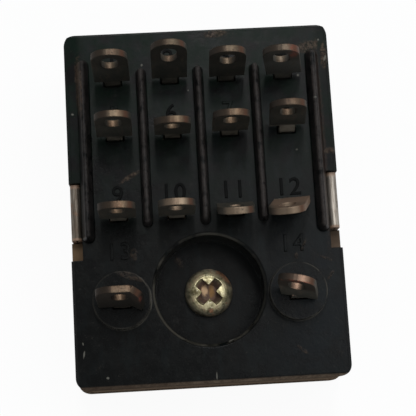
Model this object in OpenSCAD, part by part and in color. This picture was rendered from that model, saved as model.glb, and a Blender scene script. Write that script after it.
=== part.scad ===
// Fourteen-blade relay socket with solder tabs, lying on its relay side.
// Origin: centre of the outline on the relay side. +Z points out of the solder side, +Y to the row of terminals 1 to 4.

/* [Housing] */
// Width of cover and housing along X
body_w = 20.6; // [20:0.1:22]
// Length of cover and housing along Y
body_l = 27.4; // [26.8:0.1:29]
// Radius of the upright corners
corner_r = 0.9; // [0.3:0.1:1.5]
// Height of the front housing
housing_h = 6.9; // [6.5:0.1:8]
// Thickness of the shallow panel flange
flange_t = 1.8; // [1:0.1:2]
// How far the flange stands out at each side
flange_side = 0.5; // [0.3:0.05:1]
// How far the flange stands out at each end
flange_end = 0.1; // [0.05:0.05:1]
// Thickness of the floor that the relay sits against
floor_t = 1.4; // [1:0.1:1.8]

/* [Cover] */
// Thickness of the rear cover
cover_t = 4.1; // [3.9:0.1:5]
// Thickness of the web that the tab necks pass through
web_t = 1.6; // [1.2:0.1:1.9]
// Chamfer round the rear face
edge_chamfer = 0.25; // [0.1:0.05:0.4]

/* [Terminal layout] */
// Column pitch of the relay blades
col_pitch = 4.4; // [4.3:0.05:4.5]
// Y of the first row, terminals 1 to 4
row_1_y = 9.7; // [9.5:0.1:9.9]
// First row to second row
row_gap_12 = 4.35; // [4.2:0.05:4.4]
// Second row to third row
row_gap_23 = 6.25; // [6:0.05:6.4]
// Third row to the coil terminals
row_gap_34 = 6.65; // [6.4:0.05:6.8]

/* [Contact cells] */
// Width of a cell along X
cell_w = 3.1; // [3:0.05:3.3]
// Length of a cell along Y
cell_l = 2.9; // [2.7:0.05:3.1]
// Width of a relay blade slot
slot_w = 2.9; // [2.6:0.05:3]
// Thickness of a relay blade slot
slot_t = 0.9; // [0.7:0.05:1.1]
// Depth of the lead-in round each blade slot
lead_in = 0.4; // [0.2:0.05:0.6]

/* [Solder tabs] */
// Thickness of the terminal strip
strip_t = 0.5; // [0.4:0.05:0.6]
// Height of the tips above the rear face
tab_h = 6; // [5.5:0.1:7]
// Width of a tab
tab_w = 2.7; // [2.5:0.05:2.8]
// Width of the tab of terminal 13
coil_tab_w = 3.4; // [2.8:0.05:3.5]
// Corner radius of a tip
tip_r = 1.2; // [0.8:0.05:1.2]
// Width of the neck below the shoulders
neck_w = 1.2; // [1:0.05:1.4]
// Height of the shoulders above the rear face
shoulder_h = 0.95; // [0.8:0.05:1.4]
// Width of the wire hole
hole_w = 1.2; // [1:0.05:1.3]
// Length of the wire hole
hole_l = 1.9; // [1.5:0.05:2.2]
// Metal between wire hole and tip
hole_margin = 0.6; // [0.5:0.05:0.8]
// Least height of the shoulders above the bend
shoulder_min = 0.15; // [0.1:0.05:0.3]
// Distance of the fold in the knocked edge of terminal 13 from the middle of its tab
knock_x = 0.85; // [0.8:0.05:1]
// Angle of that fold in degrees
knock_angle = 30; // [0:5:45]

/* [Contact leaves] */
// Width of the anchor plate under the web
anchor_w = 2.8; // [2.6:0.05:2.9]
// Height of the anchor plate
anchor_h = 0.9; // [0.7:0.05:1.2]
// Width of a contact leaf
leaf_w = 2.2; // [1.8:0.05:2.6]
// Thickness of a contact leaf
leaf_t = 0.3; // [0.25:0.01:0.35]
// Gap between the leaves where they pinch a blade
pinch_gap = 0.3; // [0.2:0.02:0.4]
// Gap between the leaves at their belly
belly_gap = 1.5; // [1.2:0.05:1.7]
// How far each leaf flares out at its mouth
mouth_flare = 0.45; // [0.3:0.05:0.5]

/* [Ribs] */
// Height of the barrier ribs
rib_h = 1.1; // [0.8:0.1:2]
// Width of an inner rib at its base
rib_base = 0.8; // [0.6:0.05:0.9]
// Width of an outer rib at its base
outer_rib_base = 1; // [0.8:0.05:1.1]
// Width of the rounded crest
crest_w = 0.4; // [0.3:0.05:0.5]
// Upper end of the inner ribs
inner_rib_top = 10.7; // [10:0.1:11]
// Lower end of the inner ribs
inner_rib_foot = -1.8; // [-2.2:0.1:-1]
// Upper end of the outer ribs
outer_rib_top = 11.6; // [11:0.1:12.2]
// Lower end of the outer ribs
outer_rib_foot = -2.8; // [-3.5:0.1:-2]

/* [Coil bosses] */
// Radius of the bosses round terminals 13 and 14
boss_r = 2.16; // [2:0.02:2.3]
// Height of the bosses
boss_h = 0.9; // [0.5:0.05:1]
// How far the boss axis lies from its terminal towards +Y
boss_shift = 0.3; // [0:0.05:0.4]

/* [Screw well] */
// Radius of the well
well_r = 4.12; // [3.8:0.02:4.2]
// Y of the well's axis
well_y = -6.7; // [-6.9:0.05:-6.6]
// Depth of the well
well_depth = 3.2; // [2.5:0.1:3.3]

/* [Screw and nut] */
// Diameter of the screw
screw_d = 2; // [1.8:0.1:2.2]
// Diameter of the pan head
head_d = 3.7; // [3.5:0.1:4.2]
// Height of the pan head
head_h = 1.25; // [1:0.05:1.5]
// Span of the cross recess
recess_span = 2.5; // [1.8:0.1:2.7]
// Width of the arms of the cross recess
recess_w = 0.75; // [0.5:0.05:0.8]
// Depth of the cross recess
recess_depth = 0.75; // [0.5:0.05:0.9]
// Nut size across flats
nut_af = 4; // [3.6:0.1:4.4]
// Nut thickness
nut_t = 1.6; // [1.2:0.1:2]
// Height of the nut above the relay side
nut_z = 0.5; // [0.2:0.1:0.8]
// Height of the screw's tip above the relay side
screw_tip_z = 0.3; // [0.1:0.1:0.5]

/* [Side clips] */
// Width of a clip strip along Y
clip_w = 4.3; // [4:0.1:4.5]
// Thickness of the clip strip
clip_t = 0.35; // [0.3:0.01:0.37]
// Depth of the notch in each side of the cover
notch_depth = 0.9; // [0.85:0.05:1]
// Upper end of the notch
notch_top = 1.9; // [1.6:0.1:2.6]
// Length of the notch
notch_l = 5.95; // [5.8:0.05:6.4]
// How far the fold of a clip lies below the rear face
clip_drop = 0.3; // [0.2:0.05:0.6]
// How far the housing's locating lug lies below the rear face
lug_drop = 1.3; // [0.8:0.1:2]
// How far the panel catch springs out
catch_out = 0.45; // [0.3:0.05:0.5]
// Width of the panel catch
catch_w = 2; // [1.6:0.1:2.4]
// Thickness of panel that the catch holds
panel_t = 1.5; // [1:0.1:2]
// Distance of the catch's root below the top of the housing
catch_root = 0.8; // [0.6:0.1:1.2]
// Gap cut round the catch
catch_relief = 0.15; // [0.1:0.05:0.25]
// Length of the foot turned in under the housing
foot_l = 1.6; // [1.2:0.1:2]

/* [Clearances] */
// Gap between the mouths of the leaves and the housing floor
leaf_gap = 0.2; // [0.1:0.05:0.4]
// Gap round a neck in its slot
neck_gap = 0.1; // [0.05:0.01:0.15]
// Gap between a clip and its groove
clip_gap = 0.05; // [0.02:0.01:0.08]
// Gap between lug and notch
lug_gap = 0.05; // [0.02:0.01:0.1]
// Gap round the nut
nut_gap = 0.08; // [0.04:0.01:0.12]
// Gap round the screw in the cover and the housing
screw_gap = 0.15; // [0.1:0.01:0.25]

/* [Hidden] */

// How the tabs have been bent in use, in degrees: [neck towards +Y, tab towards +Y, tab towards +X, twist of the tab].
BENDS = [[4, 6, 0, 0], [10, 12, 0, 0], [6, 4, -1, 0], [6, 3, -8, 0],
         [6, 3, 1, 0], [4, -4, 0, 0], [9, -1, -1, 0], [30, 3, -4, 0],
         [2, -1, 1, 0], [2, -1, 0, 0], [26, -14, -2, 0], [45, -18, -13, 0],
         [3, 7, 0, 0], [8, 9, -9, -13]];

HOUSING_COLOR = [0.24, 0.18, 0.13];
COVER_COLOR = [0.10, 0.11, 0.12];
TERMINAL_COLOR = [0.55, 0.43, 0.33];
STEEL_COLOR = [0.74, 0.72, 0.70];
SCREW_COLOR = [0.72, 0.66, 0.45];

ROUND = 48;
EPS = 0.02;

face_z = housing_h + cover_t;
web_z = face_z - web_t;
well_floor_z = face_z - well_depth;

row_y = [row_1_y,
         row_1_y - row_gap_12,
         row_1_y - row_gap_12 - row_gap_23,
         row_1_y - row_gap_12 - row_gap_23 - row_gap_34];
col_x = [for (c = [-1.5, -0.5, 0.5, 1.5]) c * col_pitch];
// Places of terminals 1 to 14: three full rows of four, then the coil pair.
PLACES = [for (r = [0:2]) for (c = [0:3]) [col_x[c], row_y[r]],
          [col_x[0], row_y[3]], [col_x[3], row_y[3]]];
COIL_PLACES = [PLACES[12], PLACES[13]];

tip_z = face_z + tab_h;

// Height of the moulding that the neck of terminal n comes out of.
function exit_z(n) = n > 12 ? face_z + boss_h : face_z;
// Height at which the tab of terminal n has been bent.
function bend_z(n) = exit_z(n) + strip_t / 2;
// Height of the shoulders of terminal n.
function shoulder_z(n) = max(face_z + shoulder_h, bend_z(n) + shoulder_min);

// Length of the neck of terminal n between its two bends.
function neck_l(n) = shoulder_z(n) - bend_z(n);

anchor_z = web_z - anchor_h;
leaf_foot_z = floor_t + leaf_gap;
leaf_span = anchor_z - leaf_foot_z;

outer_rib_x = body_w / 2 - notch_depth - outer_rib_base / 2;

side_x = body_w / 2;
groove_depth = clip_t + 2 * clip_gap;
clip_y = notch_top - clip_gap - clip_w / 2;
fold_r = (notch_depth - 2 * clip_gap) / 2;
fold_top_z = face_z - clip_drop;
foot_z = clip_gap;

// A flat outline with round corners.
module rounded_outline(w, l, r) {
    square([w - 2 * r, l], center = true);
    square([w, l - 2 * r], center = true);
    for (sx = [-1, 1], sy = [-1, 1])
        translate([sx * (w / 2 - r), sy * (l / 2 - r)])
            circle(r, $fn = ROUND);
}

// A slot with half-round ends, running along Y.
module oblong(w, l) {
    square([w, l - w], center = true);
    for (s = [-1, 1])
        translate([0, s * (l - w) / 2])
            circle(w / 2, $fn = ROUND);
}

module box(size_x, size_y, z0, z1) {
    translate([-size_x / 2, -size_y / 2, z0])
        cube([size_x, size_y, z1 - z0]);
}

// Both sides of the socket, the left one mirrored.
module both_sides() {
    children();
    mirror([1, 0, 0])
        children();
}

// ---- front housing ----

module contact_cell() {
    box(cell_w, cell_l, floor_t, housing_h + EPS);
    box(slot_w, slot_t, -EPS, floor_t + EPS);
    box(slot_w + 2 * lead_in, slot_t + 2 * lead_in, -EPS, lead_in);
}

// The groove that a clip strip lies in, with the recess for its foot in the relay side.
module clip_groove() {
    translate([side_x, clip_y, 0]) {
        box(2 * groove_depth, clip_w + 2 * clip_gap, -EPS, housing_h + EPS);
        translate([-foot_l / 2, 0, 0])
            box(foot_l + 2 * clip_gap, clip_w + 2 * clip_gap, -EPS, clip_t + 2 * clip_gap);
    }
}

// The lug that stands in the notch beside the clip.
module locating_lug() {
    lug_w = notch_depth - lug_gap;
    lug_l = notch_l - clip_w - 3 * clip_gap;
    translate([side_x - lug_w, notch_top - notch_l + lug_gap, housing_h - EPS])
        cube([lug_w, lug_l - lug_gap, cover_t - lug_drop + EPS]);
}

module front_housing() {
    color(HOUSING_COLOR) {
        difference() {
            union() {
                linear_extrude(flange_t)
                    rounded_outline(body_w + 2 * flange_side, body_l + 2 * flange_end, corner_r);
                linear_extrude(housing_h)
                    rounded_outline(body_w, body_l, corner_r);
            }
            for (p = PLACES)
                translate([p[0], p[1], 0])
                    contact_cell();
            both_sides()
                clip_groove();
            translate([0, well_y, 0]) {
                translate([0, 0, -EPS])
                    cylinder(h = housing_h + 2 * EPS, r = screw_d / 2 + screw_gap, $fn = ROUND);
                translate([0, 0, -EPS])
                    cylinder(h = nut_z + nut_t + EPS, d = (nut_af + 2 * nut_gap) / cos(30), $fn = 6);
            }
        }
        both_sides()
            locating_lug();
    }
}

// ---- rear cover ----

// A barrier rib with draft on its flanks, cone ends and a rounded crest.
module barrier_rib(base, foot_y, top_y) {
    crest_r = crest_w / 2;
    flank_h = rib_h - crest_r;
    y0 = foot_y + base / 2;
    y1 = top_y - base / 2;
    translate([0, y1, face_z])
        rotate([90, 0, 0])
            linear_extrude(y1 - y0)
                polygon([[-base / 2, -EPS], [base / 2, -EPS], [crest_r, flank_h], [-crest_r, flank_h]]);
    for (y = [y0, y1])
        translate([0, y, face_z - EPS]) {
            cylinder(h = flank_h + EPS, r1 = base / 2, r2 = crest_r, $fn = ROUND / 2);
            translate([0, 0, flank_h + EPS])
                sphere(crest_r, $fn = ROUND / 2);
        }
    translate([0, y1, face_z + flank_h])
        rotate([90, 0, 0])
            cylinder(h = y1 - y0, r = crest_r, $fn = ROUND / 2);
}

// The cover's plain block with its chamfered rear edge.
module cover_block() {
    c = edge_chamfer;
    intersection() {
        translate([0, 0, housing_h])
            linear_extrude(cover_t)
                rounded_outline(body_w, body_l, corner_r);
        translate([0, body_l / 2, housing_h])
            rotate([90, 0, 0])
                linear_extrude(body_l)
                    polygon([[-side_x, 0], [side_x, 0], [side_x, cover_t - c], [side_x - c, cover_t],
                             [-side_x + c, cover_t], [-side_x, cover_t - c]]);
        translate([-body_w / 2, 0, housing_h])
            rotate([90, 0, 90])
                linear_extrude(body_w)
                    polygon([[-body_l / 2, 0], [body_l / 2, 0], [body_l / 2, cover_t - c],
                             [body_l / 2 - c, cover_t], [-body_l / 2 + c, cover_t], [-body_l / 2, cover_t - c]]);
    }
}

module rear_cover() {
    well_lip = edge_chamfer;
    color(COVER_COLOR) {
        difference() {
            union() {
                cover_block();
                for (p = COIL_PLACES)
                    translate([p[0], p[1] + boss_shift, face_z - EPS])
                        cylinder(h = boss_h + EPS, r = boss_r, $fn = ROUND);
            }
            for (p = PLACES)
                translate([p[0], p[1], 0]) {
                    box(cell_w, cell_l, housing_h - EPS, web_z);
                    box(neck_w + 2 * neck_gap, strip_t + 2 * neck_gap, web_z - EPS, face_z + boss_h + EPS);
                }
            translate([0, well_y, 0]) {
                translate([0, 0, well_floor_z])
                    cylinder(h = well_depth + EPS, r = well_r, $fn = 2 * ROUND);
                translate([0, 0, face_z - well_lip])
                    cylinder(h = well_lip + EPS, r1 = well_r, r2 = well_r + well_lip + EPS, $fn = 2 * ROUND);
                translate([0, 0, housing_h - EPS])
                    cylinder(h = cover_t, r = screw_d / 2 + screw_gap, $fn = ROUND);
            }
            both_sides()
                translate([side_x - notch_depth, notch_top - notch_l, housing_h - EPS])
                    cube([notch_depth + EPS, notch_l, cover_t + 2 * EPS]);
        }
        for (c = [-1:1])
            translate([c * col_pitch, 0, 0])
                barrier_rib(rib_base, inner_rib_foot, inner_rib_top);
        both_sides()
            translate([outer_rib_x, 0, 0])
                barrier_rib(outer_rib_base, outer_rib_foot, outer_rib_top);
    }
}

// ---- terminals ----

// Outline of the tab of terminal n, drawn with the middle of its shoulders at the origin and the tip along +Y.
module tab_outline(n) {
    w = n == 13 ? coil_tab_w : tab_w;
    top = tip_z - shoulder_z(n);
    difference() {
        union() {
            translate([-w / 2, 0])
                square([w, top - tip_r]);
            translate([-w / 2 + tip_r, 0])
                square([w - 2 * tip_r, top]);
            for (s = [-1, 1])
                translate([s * (w / 2 - tip_r), top - tip_r])
                    circle(tip_r, $fn = ROUND);
        }
        translate([0, top - hole_margin - hole_l / 2])
            oblong(hole_w, hole_l);
    }
}

// Strip stood upright from a flat outline, with its mid-plane on Y = 0.
module upright_strip() {
    rotate([90, 0, 0])
        translate([0, 0, -strip_t / 2])
            linear_extrude(strip_t)
                children();
}

// A round bend across the strip, or a fold along it where turned upright.
module strip_bend(length) {
    cylinder(h = length, d = strip_t, center = true, $fn = ROUND);
}

// The tab of terminal n, from its shoulders up. Terminal 13 has one edge knocked over.
module tab(n) {
    fold_l = tip_z - shoulder_z(n) - tip_r / 8;
    if (n == 13) {
        upright_strip()
            intersection() {
                tab_outline(n);
                translate([knock_x - tab_h, -tab_h])
                    square([tab_h, 3 * tab_h]);
            }
        translate([knock_x, 0, 0])
            rotate([0, 0, -knock_angle])
                translate([-knock_x, 0, 0])
                    upright_strip()
                        intersection() {
                            tab_outline(n);
                            translate([knock_x, -tab_h])
                                square([tab_h, 3 * tab_h]);
                        }
        translate([knock_x, 0, fold_l / 2])
            strip_bend(fold_l);
    } else {
        upright_strip()
            tab_outline(n);
    }
}

// Half the gap between the leaves at height t, from 0 at the lead-in to 1 at the anchor:
// a flared mouth, a pinch at a quarter of the height and a belly that closes again at the anchor.
function half_gap(t) =
    t < 0.25 ? pinch_gap / 2 + mouth_flare * pow((0.25 - t) / 0.25, 2)
             : pinch_gap / 2 + (belly_gap - pinch_gap) / 2 * sin(240 * (t - 0.25));

LEAF_STEPS = 16;

module contact_leaf() {
    inner = [for (i = [0:LEAF_STEPS]) let (t = i / LEAF_STEPS) [half_gap(t), leaf_foot_z + t * leaf_span]];
    outer = [for (i = [LEAF_STEPS:-1:0]) let (t = i / LEAF_STEPS)
             [half_gap(t) + leaf_t, leaf_foot_z + t * leaf_span]];
    translate([-leaf_w / 2, 0, 0])
        rotate([90, 0, 90])
            linear_extrude(leaf_w)
                polygon(concat(inner, outer));
}

module terminal(n) {
    place = PLACES[n - 1];
    bend = BENDS[n - 1];
    bridge_w = 2 * (half_gap(1) + leaf_t);
    color(TERMINAL_COLOR)
        translate([place[0], place[1], 0]) {
            box(neck_w, strip_t, web_z - EPS, bend_z(n));
            translate([0, 0, bend_z(n)]) {
                rotate([0, 90, 0])
                    strip_bend(neck_w);
                rotate([-bend[0], 0, 0]) {
                    box(neck_w, strip_t, 0, neck_l(n));
                    translate([0, 0, neck_l(n)])
                        rotate([bend[0], 0, 0]) {
                            rotate([0, 90, 0])
                                strip_bend(neck_w);
                            rotate([-bend[1], bend[2], 0])
                                rotate([0, 0, bend[3]])
                                    tab(n);
                        }
                }
            }
            box(anchor_w, strip_t, anchor_z, web_z);
            box(leaf_w, bridge_w, anchor_z - EPS, anchor_z + leaf_t);
            contact_leaf();
            mirror([0, 1, 0])
                contact_leaf();
        }
}

// ---- side clips ----

// Section of the strip in the plane of X and Z: foot, upright leg and the fold into the notch.
module clip_section() {
    out_x = side_x - clip_gap;
    in_x = out_x - clip_t;
    fold_x = out_x - fold_r;
    fold_z = fold_top_z - fold_r;
    translate([out_x - foot_l, foot_z])
        square([foot_l, clip_t]);
    translate([in_x, foot_z])
        square([clip_t, fold_z - foot_z]);
    difference() {
        translate([fold_x, fold_z])
            circle(fold_r, $fn = ROUND);
        translate([fold_x - fold_r - EPS, fold_z - fold_r - EPS])
            square([2 * fold_r + 2 * EPS, fold_r + EPS]);
        translate([fold_x, fold_z])
            circle(fold_r - clip_t, $fn = ROUND);
    }
    translate([out_x - 2 * fold_r, housing_h])
        square([clip_t, fold_z - housing_h]);
}

// The lanced tongue that springs out behind the panel.
module panel_catch(z0, z1) {
    out_x = side_x - clip_gap;
    rotate([90, 0, 0])
        translate([0, 0, -catch_w / 2])
            linear_extrude(catch_w)
                polygon([[out_x - clip_t, z1], [out_x - clip_t, z1 + EPS], [out_x, z1 + EPS], [out_x, z1],
                         [out_x + catch_out, z0 + clip_t], [out_x + catch_out, z0],
                         [out_x + catch_out - clip_t, z0]]);
}

module spring_clip() {
    catch_z = flange_t + panel_t;
    root_z = housing_h - catch_root;
    translate([0, clip_y, 0]) {
        difference() {
            rotate([90, 0, 0])
                translate([0, 0, -clip_w / 2])
                    linear_extrude(clip_w)
                        clip_section();
            translate([side_x, 0, 0])
                box(3 * clip_t, catch_w + 2 * catch_relief, catch_z - catch_relief, root_z);
        }
        panel_catch(catch_z, root_z);
    }
}

module right_spring_clip() {
    color(STEEL_COLOR)
        spring_clip();
}

module left_spring_clip() {
    color(STEEL_COLOR)
        mirror([1, 0, 0])
            spring_clip();
}

// ---- screw and nut ----

// Pan head turned as one profile: a flat seat, a short upright rim and a domed top.
module pan_head() {
    rim_h = head_h * 0.35;
    dome = [for (a = [0:10:90]) [head_d / 2 * (0.35 + 0.65 * cos(a)), rim_h + (head_h - rim_h) * sin(a)]];
    rotate_extrude($fn = 2 * ROUND)
        polygon(concat([[0, 0], [head_d / 2, 0]], dome, [[0, head_h]]));
}

// Cross recess whose arms narrow towards the bottom.
module cross_recess() {
    intersection() {
        union() {
            for (a = [45, 135])
                rotate([0, 0, a])
                    box(recess_span, recess_w, head_h - recess_depth, head_h + EPS);
        }
        translate([0, 0, head_h - recess_depth])
            cylinder(h = recess_depth + 2 * EPS, r1 = recess_span / 4, r2 = recess_span / 2 + EPS, $fn = ROUND);
    }
}

module assembly_screw() {
    color(SCREW_COLOR)
        translate([0, well_y, 0]) {
            translate([0, 0, well_floor_z])
                difference() {
                    pan_head();
                    cross_recess();
                }
            translate([0, 0, screw_tip_z])
                cylinder(h = well_floor_z - screw_tip_z + EPS, d = screw_d, $fn = ROUND);
        }
}

module retaining_nut() {
    color(STEEL_COLOR)
        translate([0, well_y, nut_z])
            difference() {
                cylinder(h = nut_t, d = nut_af / cos(30), $fn = 6);
                translate([0, 0, -EPS])
                    cylinder(h = nut_t + 2 * EPS, r = screw_d / 2 + screw_gap / 10, $fn = ROUND);
            }
}

front_housing();
rear_cover();
for (n = [1:14])
    terminal(n);
left_spring_clip();
right_spring_clip();
assembly_screw();
retaining_nut();
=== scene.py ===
"""A fourteen-blade relay socket, lying on its relay side with its solder tabs up: the finish of every piece."""

import bpy
import numpy as np
from mathutils import Euler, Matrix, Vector


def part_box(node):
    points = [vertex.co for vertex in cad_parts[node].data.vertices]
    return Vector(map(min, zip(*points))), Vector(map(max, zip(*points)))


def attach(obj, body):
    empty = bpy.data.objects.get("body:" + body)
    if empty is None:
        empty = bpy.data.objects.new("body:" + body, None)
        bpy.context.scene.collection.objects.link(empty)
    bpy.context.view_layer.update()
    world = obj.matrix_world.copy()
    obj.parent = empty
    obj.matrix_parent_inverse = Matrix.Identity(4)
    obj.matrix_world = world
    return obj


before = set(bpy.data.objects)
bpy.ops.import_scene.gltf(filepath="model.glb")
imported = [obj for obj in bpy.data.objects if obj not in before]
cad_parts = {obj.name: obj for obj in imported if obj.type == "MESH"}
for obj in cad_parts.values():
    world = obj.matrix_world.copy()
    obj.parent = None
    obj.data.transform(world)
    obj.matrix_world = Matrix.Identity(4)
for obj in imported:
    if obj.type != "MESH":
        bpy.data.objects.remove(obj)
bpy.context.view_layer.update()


# ---- camera ----
# A long lens looks down on the solder side from a little below the coil terminals, turned and tipped by a
# few degrees. Its place is measured from the rear face, which the ribs overtop by their height.

MM = 0.001
rib_height = 1.1
face_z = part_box("rear_cover")[1].z / MM - rib_height
camera_x, camera_y, camera_rise = -3.11, -15.57, 86.13
view_turn = Euler((-0.173, 0.038, 0.051), "XYZ")

camera_data = bpy.data.cameras.new("camera")
camera_data.sensor_width = 36.0
camera_data.lens = 99.5
camera_data.clip_start, camera_data.clip_end = 0.005, 5.0
camera = bpy.data.objects.new("camera", camera_data)
camera.location = (camera_x * MM, camera_y * MM, (face_z + camera_rise) * MM)
camera.rotation_euler = view_turn.to_matrix().inverted().to_euler()
bpy.context.scene.collection.objects.link(camera)
bpy.context.scene.camera = camera


# ---- lamps, room and floor ----
# A strip lamp stands high behind the first row of terminals, lengthwise, so the shadows of the tabs have
# straight sides and fade out. A broad one stands to the right. Floor and room are white behind the socket.

lamp_distance = 0.45
lamps = (("key_lamp", (0.02, 0.56, 1.0), 0.04, 0.14, 0.70),
         ("side_lamp", (0.38, 0.16, 1.0), 0.20, 0.20, 0.54))
for name, direction, width, length, energy in lamps:
    lamp_data = bpy.data.lights.new(name, "AREA")
    lamp_data.shape = "RECTANGLE"
    lamp_data.size, lamp_data.size_y = width, length
    lamp_data.energy = energy
    lamp = bpy.data.objects.new(name, lamp_data)
    aim = Vector(direction).normalized()
    lamp.location = Vector((0, 0, face_z * MM)) + aim * lamp_distance
    lamp.rotation_euler = aim.to_track_quat("Z", "Y").to_euler()
    bpy.context.scene.collection.objects.link(lamp)
bpy.context.scene.view_settings.view_transform = "Standard"


class Shade:
    """One output of a node tree. Operators on it add Math nodes, and node() adds any other node."""

    def __init__(self, tree, socket=None):
        self.tree, self.socket = tree, socket

    def node(self, kind, settings=None, out=0, **values):
        """Adds a node: settings first, then values or Shades by socket name (_ for a space) or number (i0)."""
        made = self.tree.nodes.new("ShaderNode" + kind)
        for name, setting in (settings or {}).items():
            setattr(made, name, setting)
        for name, value in values.items():
            key = int(name[1:]) if name[0] == "i" and name[1:].isdigit() else name.replace("_", " ")
            if isinstance(value, Shade):
                self.tree.links.new(value.socket, made.inputs[key])
            else:
                made.inputs[key].default_value = value
        return Shade(self.tree, made.outputs[out])

    def math(self, operation, *others):
        """Adds a Math node, with this Shade as its first term."""
        terms = {f"i{k}": term for k, term in enumerate((self,) + others)}
        return self.node("Math", {"operation": operation}, **terms)

    def __add__(self, other):
        return self.math("ADD", other)

    def __mul__(self, other):
        return self.math("MULTIPLY", other)

    def __sub__(self, other):
        return self.math("SUBTRACT", other)

    def __rsub__(self, other):
        return self.math("MULTIPLY_ADD", -1.0, other)

    __radd__, __rmul__ = __add__, __mul__

    def step(self, low, high):
        """A soft step, 0 at low and 1 at high, whichever is the greater."""
        return self.node("MapRange", {"interpolation_type": "SMOOTHSTEP"}, Value=self, From_Min=low, From_Max=high)

    def mix(self, first, second):
        """A colour that goes from first to second as this mask goes from 0 to 1."""
        return self.node("Mix", {"data_type": "RGBA"}, out=2, Factor=self, i6=first, i7=second)


def colour(red, green, blue):
    """A colour in linear light, with full alpha."""
    return (red, green, blue, 1.0)


def either(first, *others):
    """One mask out of several: the highest of them at each point."""
    for other in others:
        first = first.math("MAXIMUM", other)
    return first


def seen_rays(shade):
    """A mask that is 1 for rays from the camera, and for those that a gloss or a glass turns."""
    return either(*(shade.node("LightPath", out=f"Is {ray} Ray") for ray in ("Camera", "Glossy", "Transmission")))


def show(finished, output="Material Output"):
    """Makes a shader the one that its material or world shows."""
    finished.tree.links.new(finished.socket, finished.tree.nodes[output].inputs["Surface"])


room = bpy.data.worlds.new("room")
bpy.context.scene.world = room
room.use_nodes = True
air = Shade(room.node_tree)
fill = air.node("Background", Color=colour(0.86, 0.94, 1.0), Strength=0.40)
backdrop = air.node("Background", Color=colour(1.0, 1.0, 1.0), Strength=1.0)
show(air.node("MixShader", i0=seen_rays(air), i1=fill, i2=backdrop), "World Output")


def new_finish(name):
    """An empty material, a Shade to add its nodes with, and its Principled shader."""
    material = bpy.data.materials.new(name)
    material.use_nodes = True
    return material, Shade(material.node_tree), material.node_tree.nodes["Principled BSDF"]


def feed(shader, **inputs):
    """Links a Shade to, or sets a value on, each named socket of a shader."""
    for name, value in inputs.items():
        socket = shader.inputs[name.replace("_", " ")]
        if isinstance(value, Shade):
            value.tree.links.new(value.socket, socket)
        else:
            socket.default_value = value


floor_half = 1.2
floor_whiteness = 0.94
corners = [(side * floor_half, end * floor_half, 0.0) for side, end in ((-1, -1), (1, -1), (1, 1), (-1, 1))]
floor_mesh = bpy.data.meshes.new("floor")
floor_mesh.from_pydata(corners, [], [(0, 1, 2, 3)])
floor = bpy.data.objects.new("floor", floor_mesh)
bpy.context.scene.collection.objects.link(floor)

paper, shade, shader = new_finish("white_paper")
floor_mesh.materials.append(paper)
feed(shader, Base_Color=colour(0.86, 0.86, 0.86), Roughness=0.9, Specular_IOR_Level=0.0)
matt = Shade(shade.tree, shader.outputs[0])
glow = shade.node("Emission", Color=colour(1.0, 1.0, 1.0), Strength=1.0)
show(shade.node("MixShader", i0=seen_rays(shade) * floor_whiteness, i1=matt, i2=glow))


# ---- rear cover ----
# A black phenolic moulding with a dull sheen. Handling has rubbed its rims and edges, dust lies in specks
# over it, and rust and scrapes have left brown marks on one rib, at the upper edge and in a corner.


def place(shade):
    """The point on the piece, in millimetres."""
    metres = shade.node("TexCoord", out="Object")
    return metres.node("VectorMath", {"operation": "SCALE"}, i0=metres, Scale=1.0 / MM)


def along(vector, axis):
    """The part of a vector along an axis: 0 for x, 1 for y and 2 for z."""
    return vector.node("SeparateXYZ", out=axis, Vector=vector)


def noise(spot, scale, detail=3.0, rough=0.55, stretch=(1.0, 1.0, 1.0), shift=(0.0, 0.0, 0.0)):
    """Noise from 0 to 1, about scale features to a millimetre, drawn out along the axes with a small stretch."""
    mapped = spot.node("Mapping", Vector=spot, Location=shift, Scale=stretch)
    return spot.node("TexNoise", Vector=mapped, Scale=scale, Detail=detail, Roughness=rough)


def softened(shade, radius):
    """The normal, with the edges rounded to a radius in millimetres."""
    return shade.node("Bevel", {"samples": 6}, Radius=radius * MM)


def edge_mask(normal):
    """1 on the edges that a softened normal rounds, and 0 on the faces between."""
    flat = normal.node("NewGeometry", out="Normal")
    agreement = normal.node("VectorMath", {"operation": "DOT_PRODUCT"}, out="Value", i0=normal, i1=flat)
    return (1.0 - agreement).step(0.01, 0.16)


def relief(height, normal, depth, strength=0.5):
    """A normal with a height worked into it, to a depth in millimetres."""
    return height.node("Bump", Height=height, Distance=depth * MM, Strength=strength, Normal=normal)


def blots(spot, *ellipses):
    """Soft ragged ellipses as one mask, 1 inside: each has its centre, half lengths and turn in degrees."""
    ragged = (noise(spot, 2.6, detail=4.0, rough=0.7) - 0.5) * 1.6
    softness, half_height = 0.35, 6.0
    masks = []
    for centre, size, turn in ellipses:
        local = spot.node("Mapping", {"vector_type": "TEXTURE"}, Vector=spot, Location=(*centre, face_z),
                          Rotation=(0.0, 0.0, np.radians(turn)), Scale=(*size, half_height))
        reach = local.node("VectorMath", {"operation": "LENGTH"}, out="Value", i0=local)
        masks.append((reach + ragged).step(1.0 + softness, 1.0 - softness))
    return either(*masks)


def from_axis(spot, centre_x, centre_y):
    """The distance from an upright axis, in millimetres."""
    flat = spot.node("VectorMath", {"operation": "MULTIPLY_ADD"}, i0=spot, i1=(1.0, 1.0, 0.0),
                     i2=(-centre_x, -centre_y, 0.0))
    return flat.node("VectorMath", {"operation": "LENGTH"}, out="Value", i0=flat)


def ring(spot, centre_x, centre_y, radius):
    """A thin soft ring about an upright axis, 1 on its line."""
    width = 0.13
    return (from_axis(spot, centre_x, centre_y) - radius).math("ABSOLUTE").step(width, 0.2 * width)


def dress(material, *names):
    """Gives CAD nodes their finish, in every material slot that they have."""
    for name in names:
        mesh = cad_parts[name].data
        for slot in range(len(mesh.materials)):
            mesh.materials[slot] = material


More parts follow.
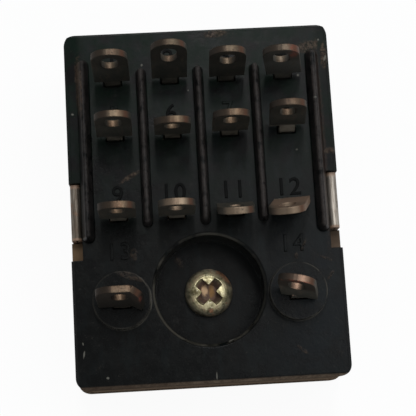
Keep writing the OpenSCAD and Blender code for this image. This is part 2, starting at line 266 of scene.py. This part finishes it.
half_width, half_length = (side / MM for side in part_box("rear_cover")[1][:2])
well_y, well_radius = -6.7, 4.12
coil_x, boss_y, boss_radius = 6.6, -7.25, 2.16

black, shade, shader = new_finish("black_phenolic")
spot = place(shade)
x, y, z = (along(spot, axis) for axis in range(3))
normal = softened(shade, 0.12)
cloud = noise(spot, 0.20, detail=4.0)
patch = noise(spot, 0.55, detail=4.0, shift=(7.0, 0.0, 0.0))
mottle = noise(spot, 1.5, detail=5.0, rough=0.7)
grain = noise(spot, 6.5, detail=4.0, rough=0.7)
on_ribs = z.step(face_z + 0.12, face_z + 0.30) * y.step(-5.0, -4.0)
in_well = z.step(face_z - 1.0, face_z - 2.5)

# The face is painted darker at the left, at the lower end and on the floor of the well: painted shade. The rest
# has a thin greenish film, bluer towards the right, with pale streaks where it was wiped.
base = cloud.step(0.35, 0.65).mix(colour(0.0010, 0.0018, 0.0020), colour(0.0022, 0.0022, 0.0021))
base = (mottle.step(0.46, 0.66) * 0.6).mix(base, colour(0.0062, 0.0072, 0.0068))
# Painted shade: the base is darkened at the left, at the lower end and in the well, where less light falls.
painted_shade_left_and_low = either(x.step(4.0, -8.0), y.step(2.0, -9.0) * 0.9)
base = (either(painted_shade_left_and_low, in_well) * 0.8).mix(base, colour(0.0008, 0.0011, 0.0011))
film = patch.step(0.35, 0.60) * y.step(-6.0, 11.0) * (1.0 - on_ribs)
base = (film * 0.65).mix(base, colour(0.0012, 0.0074, 0.0038))
bluish = x.step(1.0, 9.0) * y.step(3.0, -5.0) * cloud.step(0.35, 0.60)
base = (bluish * 0.7).mix(base, colour(0.0026, 0.0048, 0.0066))
streaks = noise(spot, 1.3, detail=4.0, stretch=(1.0, 0.3, 1.0), shift=(2.0, 0.0, 0.0)).step(0.48, 0.66)
base = (streaks * (1.0 - painted_shade_left_and_low * 0.5) * 0.6).mix(base, colour(0.0050, 0.0076, 0.0080))
base = (patch.step(0.48, 0.36) * 0.7).mix(base, colour(0.0010, 0.0012, 0.0014))

# The ribs are rubbed grey, and their crests are painted lighter still: rubbing with a painted highlight over it.
# The wall of the well is painted lighter, painted light over its shade, and the edges are dusty. A brown band runs
# down beside the right outer rib.
handled = on_ribs * x.step(-10.2, -7.6)
base = (handled * mottle.step(0.30, 0.60)).mix(base, colour(0.0180, 0.0155, 0.0150))
specks = grain.step(0.60, 0.70) * mottle.step(0.42, 0.62)
base = (specks * 0.5).mix(base, colour(0.036, 0.032, 0.026))
band = blots(spot, ((9.3, 4.5), (0.26, 7.0), 0.0)) * grain.step(0.40, 0.60)
base = (band * 0.8).mix(base, colour(0.026, 0.015, 0.011))
scuffs = noise(spot, 1.1, detail=6.0, rough=0.75, shift=(5.0, 9.0, 0.0)).step(0.58, 0.70)
base = (scuffs * grain.step(0.40, 0.60) * 0.5).mix(base, colour(0.020, 0.019, 0.017))
# Painted highlight, with rubbing: the tops of the ribs are lightened.
crest_rubbing_and_highlight = z.step(face_z + 0.70, face_z + 1.00) * handled * grain.step(0.32, 0.60)
base = (crest_rubbing_and_highlight * mottle.step(0.36, 0.52) * 0.8).mix(base, colour(0.040, 0.034, 0.031))
# Painted light: the wall of the well lies in shade and is painted lighter so that it does not show dark.
well_wall_painted_light = along(normal, 2).step(0.6, 0.2) * in_well
base = well_wall_painted_light.mix(base, colour(0.014, 0.015, 0.015))
worn = edge_mask(normal) * noise(spot, 2.4, shift=(3.0, 1.0, 0.0)).step(0.40, 0.65)
base = (worn * 0.45).mix(base, colour(0.030, 0.027, 0.023))

# Dirt has stuck in broken arcs round the well and the two bosses.
rims = ring(spot, 0.0, well_y, well_radius + 0.10) * (x.step(4.5, 1.0) * 0.8 + 0.2)
for side in (-coil_x, coil_x):
    rims = either(rims, ring(spot, side, boss_y, boss_radius) * ((x - side).step(-1.6, 1.6) * 0.7 + 0.3))
rims = rims * noise(spot, 0.7, detail=5.0, rough=0.65, shift=(0.0, 4.0, 0.0)).step(0.36, 0.56)
base = (rims * 0.85).mix(base, colour(0.058, 0.053, 0.043))

# Rust and scrapes, fainter at the lower end, and over them the larger grains of dust.
rust = blots(spot, ((-9.2, 9.4), (0.26, 2.2), 2.0), ((1.6, 13.3), (0.9, 0.30), 4.0),
             ((8.7, 11.9), (0.9, 0.45), 10.0), ((9.9, 11.2), (0.25, 1.0), 0.0),
             ((-5.6, 2.2), (0.8, 0.16), 32.0), ((7.3, -3.7), (0.10, 0.45), -25.0),
             ((8.9, -4.8), (0.5, 0.10), -25.0), ((9.2, -6.1), (0.12, 0.40), -40.0),
             ((6.7, -4.5), (0.12, 0.22), 0.0), ((6.7, -11.6), (0.5, 0.12), -40.0),
             ((-2.2, -4.1), (0.25, 0.55), 30.0), ((-5.9, -5.5), (0.9, 0.25), -20.0),
             ((-5.6, -3.8), (0.25, 0.40), 0.0), ((9.9, 3.5), (0.5, 0.22), 0.0),
             ((-2.2, 11.5), (0.45, 0.18), 10.0), ((2.3, 11.6), (0.3, 0.25), 0.0))
rust = rust * noise(spot, 4.0, detail=5.0, rough=0.75, shift=(2.0, 5.0, 0.0)).step(0.38, 0.56)
rusty = grain.step(0.35, 0.65).mix(colour(0.030, 0.017, 0.012), colour(0.105, 0.075, 0.052))
base = (rust * (y.step(-5.0, 1.0) * 0.35 + 0.35)).mix(base, rusty)
dust = blots(spot, ((-4.3, 11.0), (0.07, 0.08), 0.0), ((-0.8, 8.8), (0.06, 0.06), 0.0),
             ((7.8, 9.6), (0.08, 0.09), 0.0), ((8.87, 7.5), (0.14, 0.06), 0.0),
             ((7.3, 3.7), (0.09, 0.06), 20.0), ((-9.65, -10.3), (0.05, 0.12), 10.0),
             ((-9.6, -11.1), (0.05, 0.25), -10.0), ((0.16, -13.2), (0.05, 0.28), 0.0),
             ((1.5, -10.5), (0.35, 0.07), 30.0), ((9.6, 12.4), (0.07, 0.07), 0.0),
             ((10.0, 10.9), (0.07, 0.20), -20.0), ((-9.8, 7.3), (0.10, 0.08), 0.0),
             ((-7.9, -12.9), (0.10, 0.08), 0.0))
base = (dust * 0.8).mix(base, colour(0.12, 0.115, 0.098))

# The sheen is dullest in the upper left corner and outside the outer ribs, and clearest at the lower left.
smooth = x.step(3.0, -9.0) + y.step(2.0, -10.0)
dull_corner = x.step(2.0, -7.0) * y.step(6.0, 12.0)
left_margin = x.step(-8.9, -9.4) * y.step(-3.0, 1.0)
right_margin = x.step(9.2, 9.7) * y.step(0.0, 3.0)
rough = mottle.step(0.34, 0.66) * 0.07 + patch.step(0.36, 0.64) * 0.06 + cloud * 0.06 + 0.26
rough = rough - smooth * 0.050 + dull_corner * 0.14 + left_margin * 0.22 + right_margin * 0.10
height = grain * 0.3 + mottle * 0.7 + (rims + rust) * 0.4
feed(shader, Base_Color=base, Roughness=rough, Normal=relief(height, normal, 0.03, 0.7), Specular_IOR_Level=0.066)

# The outer walls have no sheen left and are soiled brown. The lower end wall is painted paler, painted light on a
# wall that gets little of it, and the walls are painted darker towards the left, painted shade.
upright = along(shade.node("NewGeometry", out="Normal"), 2).math("ABSOLUTE").step(0.5, 0.2)
walls = either(upright, y.step(0.28 - half_length, 0.14 - half_length))
outside = either(x.math("ABSOLUTE").step(half_width - 0.30, half_width - 0.15),
                 y.math("ABSOLUTE").step(half_length - 0.30, half_length - 0.15))
soiled = (mottle * 0.5 + grain * 0.5).step(0.36, 0.64)
side_wall = soiled.mix(colour(0.030, 0.023, 0.018), colour(0.058, 0.044, 0.034))
# Painted light: the lower end wall gets a paler brown.
end_wall_painted_light = soiled.mix(colour(0.060, 0.042, 0.030), colour(0.130, 0.096, 0.070))
wall = y.step(0.4 - half_length, 0.1 - half_length).mix(side_wall, end_wall_painted_light)
# Painted shade: the walls darken towards the left.
wall = (x.step(-1.0, -8.0) * 0.5).mix(wall, colour(0.032, 0.021, 0.015))
moulded = Shade(shade.tree, shader.outputs[0])
bare = shade.node("BsdfPrincipled", Base_Color=wall, Roughness=0.7, Specular_IOR_Level=0.0)
show(shade.node("MixShader", i0=walls * outside, i1=moulded, i2=bare))
dress(black, "rear_cover")


# ---- terminal numbers ----
# Plain figures, moulded with the cover and standing proud of it above each tab. Less dust settles on them
# than on the face, so they are blacker than it is, except for four that are as worn as the face.

column_pitch = 4.4
first_row_y, second_row_y, third_row_y, coil_row_y = 11.5, 7.1, 0.85, -3.5
figure_height, figure_rise = 1.35, 0.10
worn_numbers = (5, 7, 13, 14)

ink, shade, shader = new_finish("black_figures")
normal = softened(shade, 0.05)
grain = noise(place(shade), 9.0, detail=4.0, rough=0.7)
worn = edge_mask(normal) * grain.step(0.42, 0.62)
base = (worn * 0.35).mix(colour(0.0018, 0.0021, 0.0021), colour(0.022, 0.021, 0.018))
feed(shader, Base_Color=base, Roughness=grain * 0.2 + 0.50, Normal=relief(grain, normal, 0.015),
     Specular_IOR_Level=0.055)


def figure_mesh(text, centre_x, centre_y):
    """A number as a mesh: its outline filled, raised and rounded off, then scaled about its middle to size."""
    curve = bpy.data.curves.new("figure", "FONT")
    curve.body, curve.size, curve.space_character = text, 1.0, 1.12
    curve.offset, curve.extrude, curve.bevel_depth = -0.006, 0.02, 0.018
    curve.bevel_resolution, curve.resolution_u = 2, 6
    holder = bpy.data.objects.new("figure", curve)
    bpy.context.scene.collection.objects.link(holder)
    bpy.context.view_layer.update()
    mesh = bpy.data.meshes.new_from_object(holder.evaluated_get(bpy.context.evaluated_depsgraph_get()))
    bpy.data.objects.remove(holder)
    points = np.empty(len(mesh.vertices) * 3)
    mesh.vertices.foreach_get("co", points)
    points = points.reshape(-1, 3)
    low, high = points.min(0), points.max(0)
    across = figure_height / (high[1] - low[1])
    points -= [(low[0] + high[0]) / 2, (low[1] + high[1]) / 2, high[2]]
    points *= [across, across, 2 * figure_rise / (high[2] - low[2])]
    points += [centre_x, centre_y, face_z + figure_rise]
    mesh.vertices.foreach_set("co", (points * MM).ravel())
    return mesh


columns = [(k - 1.5) * column_pitch for k in range(4)]
rows = ((1, first_row_y), (5, second_row_y), (9, third_row_y))
numbers = [(first + k, columns[k], row_y) for first, row_y in rows for k in range(4)]
numbers += [(13, columns[0], coil_row_y), (14, columns[3], coil_row_y)]
for number, centre_x, centre_y in numbers:
    figure = bpy.data.objects.new(f"number_{number}", figure_mesh(str(number), centre_x, centre_y))
    bpy.context.scene.collection.objects.link(figure)
    figure.data.materials.append(black if number in worn_numbers else ink)
    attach(figure, "root")


# ---- front housing ----
# The lower moulding, of dark brown phenolic. It carries the panel flange and shows as a thin strip below the cover
# and as a lug in each side notch. It is painted a little paler towards the right and paler again on its lower end
# wall: painted light.

brown, shade, shader = new_finish("brown_phenolic")
spot = place(shade)
normal = softened(shade, 0.10)
cloud = noise(spot, 0.35, detail=4.0)
grain = noise(spot, 8.0, detail=4.0, rough=0.7)
# Painted light: the brown pales towards the right, where more light falls.
base = along(spot, 0).step(-9.0, 10.0).mix(colour(0.128, 0.083, 0.049), colour(0.138, 0.099, 0.071))
base = (cloud.step(0.42, 0.70) * 0.6).mix(base, colour(0.030, 0.020, 0.014))
base = (grain.step(0.50, 0.75) * 0.5).mix(base, colour(0.095, 0.075, 0.055))
base = (edge_mask(normal) * 0.35).mix(base, colour(0.11, 0.085, 0.062))
# Painted light: the lower end wall is given a much paler brown.
end_wall_painted_light = grain.step(0.30, 0.70).mix(colour(0.080, 0.051, 0.034), colour(0.205, 0.148, 0.104))
base = along(spot, 1).step(0.4 - half_length, 0.1 - half_length).mix(base, end_wall_painted_light)
feed(shader, Base_Color=base, Roughness=grain * 0.2 + 0.46, Normal=relief(grain, normal, 0.02),
     Specular_IOR_Level=0.0)
dress(brown, "front_housing")


# ---- terminals ----
# Stamped from tinned brass strip and long since tarnished. The flat faces have gone brown-black; the tips, the
# lower walls of the wire holes and the bends at the necks are brighter, a dull pink-tan metal, partly rubbed and
# partly a painted highlight on the faces that look up.

neck_top = face_z + 0.95
tarnished, shade, shader = new_finish("tarnished_brass")
spot = place(shade)
x, y, z = (along(spot, axis) for axis in range(3))
normal = softened(shade, 0.12)
flat = shade.node("NewGeometry", out="Normal")
sideways, upward = along(flat, 0), along(flat, 2)
patch = noise(spot, 1.0, detail=4.0)
grain = noise(spot, 7.0, detail=4.0, rough=0.65)
streak = noise(spot, 3.0, stretch=(1.0, 1.0, 0.25), shift=(1.0, 0.0, 2.0))
first_row, third_row, coil_row = y.step(8.0, 9.0), y.step(3.0, 2.0) * y.step(-4.0, -3.0), y.step(-4.0, -5.0)
right_column, inner_columns = x.step(4.4, 5.0), x.step(-5.5, -3.0)
terminal_13 = x.step(0.0, -1.0) * y.step(-5.0, -6.0)

# The tarnish of the faces. The right-hand faces of the first and third rows are paler and browner, and that of
# terminal 13 is the blackest.
dull = patch.step(0.35, 0.70).mix(colour(0.033, 0.033, 0.028), colour(0.048, 0.044, 0.036))
dull = (right_column * first_row).mix(dull, colour(0.072, 0.069, 0.060))
dull = (right_column * third_row).mix(dull, colour(0.138, 0.094, 0.067))
dull = (streak.step(0.52, 0.70) * 0.6).mix(dull, colour(0.070, 0.055, 0.042))
dull = (terminal_13 * 0.85).mix(dull, colour(0.010, 0.009, 0.008))

# The metal where it is rubbed: brightest in the third row and on terminal 14, and nearly covered over on terminals
# 8 and 13; the tip of terminal 13 is also painted dark away from its middle, painted shade.
polished = patch.step(0.3, 0.7).mix(colour(0.092, 0.056, 0.036), colour(0.128, 0.096, 0.064))
polished = (grain.step(0.50, 0.70) * 0.6).mix(polished, colour(0.19, 0.135, 0.090))
polished = (first_row * 0.40).mix(polished, dull)
polished = (third_row * inner_columns * 0.50).mix(polished, colour(0.24, 0.185, 0.135))
terminal_8 = right_column * y.step(3.0, 4.0) * (1.0 - first_row)
polished = (terminal_8 * 0.50).mix(polished, colour(0.040, 0.026, 0.020))
polished = (right_column * coil_row * 0.65).mix(polished, colour(0.26, 0.165, 0.120))
# Painted shade: the tip of terminal 13 is darkened towards its sides.
tip_13_sides_painted_shade = (x + 6.5).math("ABSOLUTE").step(0.3, 1.0)
polished = (terminal_13 * tip_13_sides_painted_shade * 0.8).mix(polished, colour(0.034, 0.024, 0.018))
# Painted highlight, with rubbing: the faces that look up get the brighter metal.
rubbed_and_painted_highlight = upward.step(0.62, 0.99) * grain.step(0.22, 0.45)
rubbed_and_painted_highlight = rubbed_and_painted_highlight * (1.0 - blots(spot, ((-5.2, -7.9), (0.60, 0.7), 0.0)) * 0.7)
base = rubbed_and_painted_highlight.mix(dull, polished)

# The tips are painted browner at their right ends and dark at their left ends, painted shade where the rounded
# tips turn away from the light, and three of them are stained red.
tips = upward.step(0.35, 0.75) * z.step(face_z + 3.5, face_z + 4.5)
# Painted shade: the right ends of the tips are darkened to a warm brown.
base = (sideways.step(0.38, 0.72) * tips * 0.85).mix(base, colour(0.084, 0.040, 0.025))
# Painted shade: the left ends of the tips are darkened.
left_ends_painted_shade = sideways.step(0.24, -0.25) * z.step(face_z + 3.2, face_z + 4.2)
base = (left_ends_painted_shade * (0.9 - third_row * inner_columns * 0.4)).mix(base, colour(0.020, 0.016, 0.013))
red = blots(spot, ((6.95, 9.95), (0.55, 0.5), 0.0), ((6.2, -7.12), (1.3, 0.07), -11.0),
            ((-5.05, -7.95), (0.30, 0.5), 0.0))
base = (red * z.step(face_z + 4.2, face_z + 4.8) * 0.75).mix(base, colour(0.20, 0.055, 0.036))

# The necks are painted paler: partly cleaner metal, partly painted light where their bends catch it.
neck = z.step(neck_top + 0.12, neck_top - 0.10) * z.step(face_z, face_z + 0.15) * (1.0 - first_row * 0.6)
base = (neck * patch.step(0.25, 0.55)).mix(base, colour(0.17, 0.15, 0.12))
feed(shader, Base_Color=base, Metallic=either(rubbed_and_painted_highlight, neck) * 0.5 + 0.3, Roughness=0.56 - rubbed_and_painted_highlight * 0.12,
     Normal=relief(grain, normal, 0.02), Specular_IOR_Level=0.12, Specular_Tint=colour(0.50, 0.42, 0.36))
dress(tarnished, *(f"terminal_{number}" for number in range(1, 15)))


# ---- spring clips ----
# Two strips of bright spring steel, folded over into the side notches. Drawing has left fine marks along the
# strip, nicks show on the right one, and the folded upper ends are stained rust brown; the lower ends are painted
# the same brown, painted light over the shade of their turned-down ends.

clip_low, clip_high = (corner.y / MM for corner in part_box("left_spring_clip"))
steel, shade, shader = new_finish("spring_steel")
spot = place(shade)
x, y = along(spot, 0), along(spot, 1)
drawn = noise(spot, 9.0, detail=3.0, stretch=(1.0, 0.05, 0.3))
stain = noise(spot, 0.9, detail=4.0)
nicks = noise(spot, 3.2, detail=2.0, stretch=(1.0, 0.6, 1.0), shift=(0.0, 2.0, 0.0)).step(0.60, 0.68)
base = drawn.step(0.35, 0.65).mix(colour(0.15, 0.13, 0.11), colour(0.34, 0.31, 0.27))
left_steel = drawn.step(0.45, 0.70).mix(colour(0.065, 0.052, 0.040), colour(0.17, 0.15, 0.125))
base = x.step(4.0, -4.0).mix(base, left_steel)
base = (stain.step(0.55, 0.72) * 0.6).mix(base, colour(0.12, 0.065, 0.038))
base = (nicks * x.step(9.85, 9.95) * 0.8).mix(base, colour(0.055, 0.045, 0.035))
# The upper ends are rust stained; the lower ends get the same brown as painted light, over their shade.
stained_and_painted_ends = either(y.step(clip_high - 0.40, clip_high - 0.15), y.step(clip_low + 0.25, clip_low + 0.10))
base = (stained_and_painted_ends * 0.8).mix(base, stain.step(0.35, 0.65).mix(colour(0.19, 0.105, 0.060), colour(0.26, 0.17, 0.11)))
feed(shader, Base_Color=base, Metallic=0.85 - stained_and_painted_ends * 0.8, Roughness=0.52,
     Normal=relief(drawn, softened(shade, 0.05), 0.02))
dress(steel, "left_spring_clip", "right_spring_clip")


# ---- screw and nut ----
# A pan-head screw and its nut, plated in yellow zinc. The plate is bright on the dome and freckled with rust near
# the rim, and the cross recess is packed with brown dirt. The rim is painted a dull olive-grey with little metal,
# painted light in place of its dark reflections.

head_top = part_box("assembly_screw")[1].z / MM
plated, shade, shader = new_finish("yellow_zinc")
spot = place(shade)
reach = from_axis(spot, 0.0, well_y)
grain = noise(spot, 6.0, detail=4.0, rough=0.7)
patch = noise(spot, 1.6, detail=3.0)
base = patch.step(0.36, 0.62).mix(colour(0.082, 0.070, 0.036), colour(0.40, 0.365, 0.225))
base = (grain.step(0.56, 0.70) * 0.7).mix(base, colour(0.66, 0.63, 0.47))
# Painted light: the rim is given a flat, lit olive-grey colour and little metal.
rim_painted_light = reach.step(1.35, 1.75)
base = (rim_painted_light * 0.9).mix(base, patch.step(0.38, 0.62).mix(colour(0.048, 0.040, 0.026), colour(0.150, 0.137, 0.096)))
rust = patch.step(0.48, 0.62) * grain.step(0.42, 0.60) * reach.step(0.9, 1.6)
base = (rust * 0.85).mix(base, colour(0.15, 0.060, 0.028))
browned = blots(spot, ((1.22, well_y + 1.15), (0.20, 0.80), 45.0), ((0.10, well_y - 1.45), (0.22, 0.16), 0.0))
rusty = grain.step(0.40, 0.60).mix(colour(0.075, 0.030, 0.016), colour(0.26, 0.115, 0.055))
base = (browned * 0.85).mix(base, rusty)

recess = along(spot, 2).step(head_top - 0.10, head_top - 0.40) * reach.step(1.25, 1.10)
dirt = patch.step(0.35, 0.60).mix(colour(0.050, 0.028, 0.018), colour(0.095, 0.052, 0.032))
dirt = (blots(spot, ((-0.34, well_y + 0.15), (0.26, 0.45), 0.0)) * 0.9).mix(dirt, colour(0.52, 0.34, 0.19))
dirt = (blots(spot, ((0.22, well_y + 0.10), (0.24, 0.55), 0.0)) * 0.8).mix(dirt, colour(0.21, 0.105, 0.022))
base = recess.mix(base, dirt)
metal = 1.0 - either(rust * 0.8, recess, rim_painted_light * 0.75, browned * 0.8)
feed(shader, Base_Color=base, Metallic=metal, Roughness=0.75 - metal * 0.40,
     Normal=relief(grain, softened(shade, 0.08), 0.04))
dress(plated, "assembly_screw", "retaining_nut")
